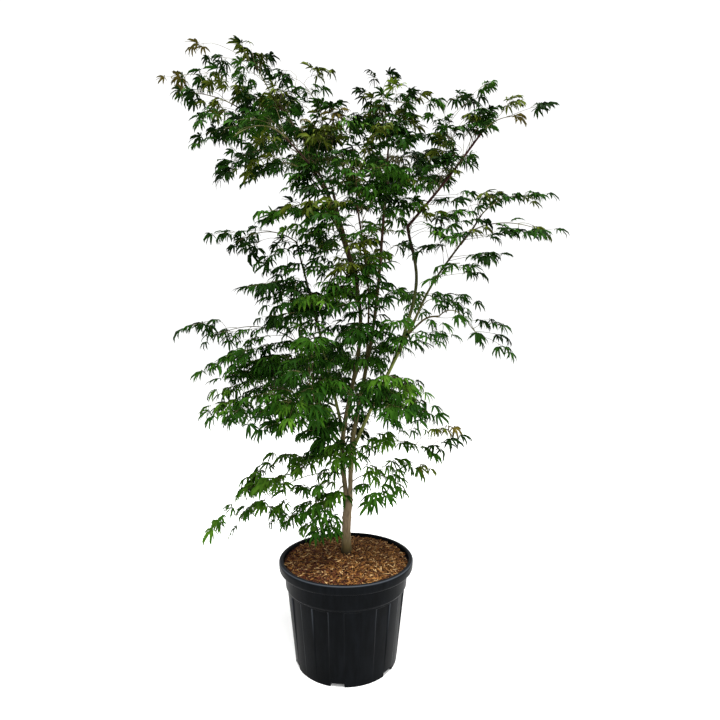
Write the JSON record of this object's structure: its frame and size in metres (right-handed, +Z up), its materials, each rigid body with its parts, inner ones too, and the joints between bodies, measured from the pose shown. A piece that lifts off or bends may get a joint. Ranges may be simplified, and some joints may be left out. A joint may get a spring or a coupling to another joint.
{
  "type": "potted maple tree",
  "caption": "Japanese maple tree with two leaders and layered sprays of lobed leaves, standing in a round fluted nursery pot topped with bark mulch.",
  "frame": {"origin": "centre of the pot's flat underside, on the ground", "axes": "+Z up along the trunk, -Y towards the viewer of the picture, +X to the viewer's right"},
  "size_m": [1.5611, 0.9696, 2.4125],
  "materials": {
    "pot": "satin black moulded plastic",
    "mulch": "loose bark fibre, rough",
    "bark": "smooth young bark, matte",
    "red_bark": "smooth reddish young bark, matte",
    "leaves": "thin leaf, low sheen"
  },
  "bodies": {
    "root": {"pot": "pot", "bark_mulch": "mulch", "trunk": "bark", "leader_left": "bark", "leader_centre": "bark", "limb_right": "bark", "limb_right_upper": "bark", "red_limb_lower": "red_bark", "red_limb_upper": "red_bark", "limb_left": "bark", "limb_left_upper": "bark", "bough_far_left": "bark", "bough_crest": "bark", "bough_upper_front": "bark", "bough_upper_back": "bark", "bough_upper_low": "bark", "bough_shelf": "bark", "bough_middle_back": "bark", "bough_top_back": "bark", "bough_centre_front": "bark", "bough_red_inner": "bark", "bough_right_upper": "bark", "bough_right_back": "bark", "bough_right_droop": "bark", "bough_left_middle": "bark", "bough_left_far": "bark", "bough_left_front": "bark", "bough_left_back": "bark", "bough_centre_back": "bark", "bough_right_low": "bark", "foliage_far_left": "leaves", "foliage_crest": "leaves", "foliage_upper_front": "leaves", "foliage_upper_back": "leaves", "foliage_upper_low": "leaves", "foliage_upper_inner": "leaves", "foliage_top": "leaves", "foliage_top_back": "leaves", "foliage_centre_front": "leaves", "foliage_red_tip": "leaves", "foliage_red_inner": "leaves", "foliage_right_upper": "leaves", "foliage_right_middle": "leaves", "foliage_right_back": "leaves", "foliage_right_droop": "leaves", "foliage_shelf": "leaves", "foliage_middle_back": "leaves", "foliage_left_middle": "leaves", "foliage_left_inner": "leaves", "foliage_left_far": "leaves", "foliage_left_front": "leaves", "foliage_left_dense": "leaves", "foliage_left_back": "leaves", "foliage_centre_back": "leaves", "foliage_right_low": "leaves", "foliage_right_thin": "leaves", "foliage_low_right": "leaves", "foliage_low_left": "leaves", "foliage_low_front": "leaves"}
  },
  "joints": []
}
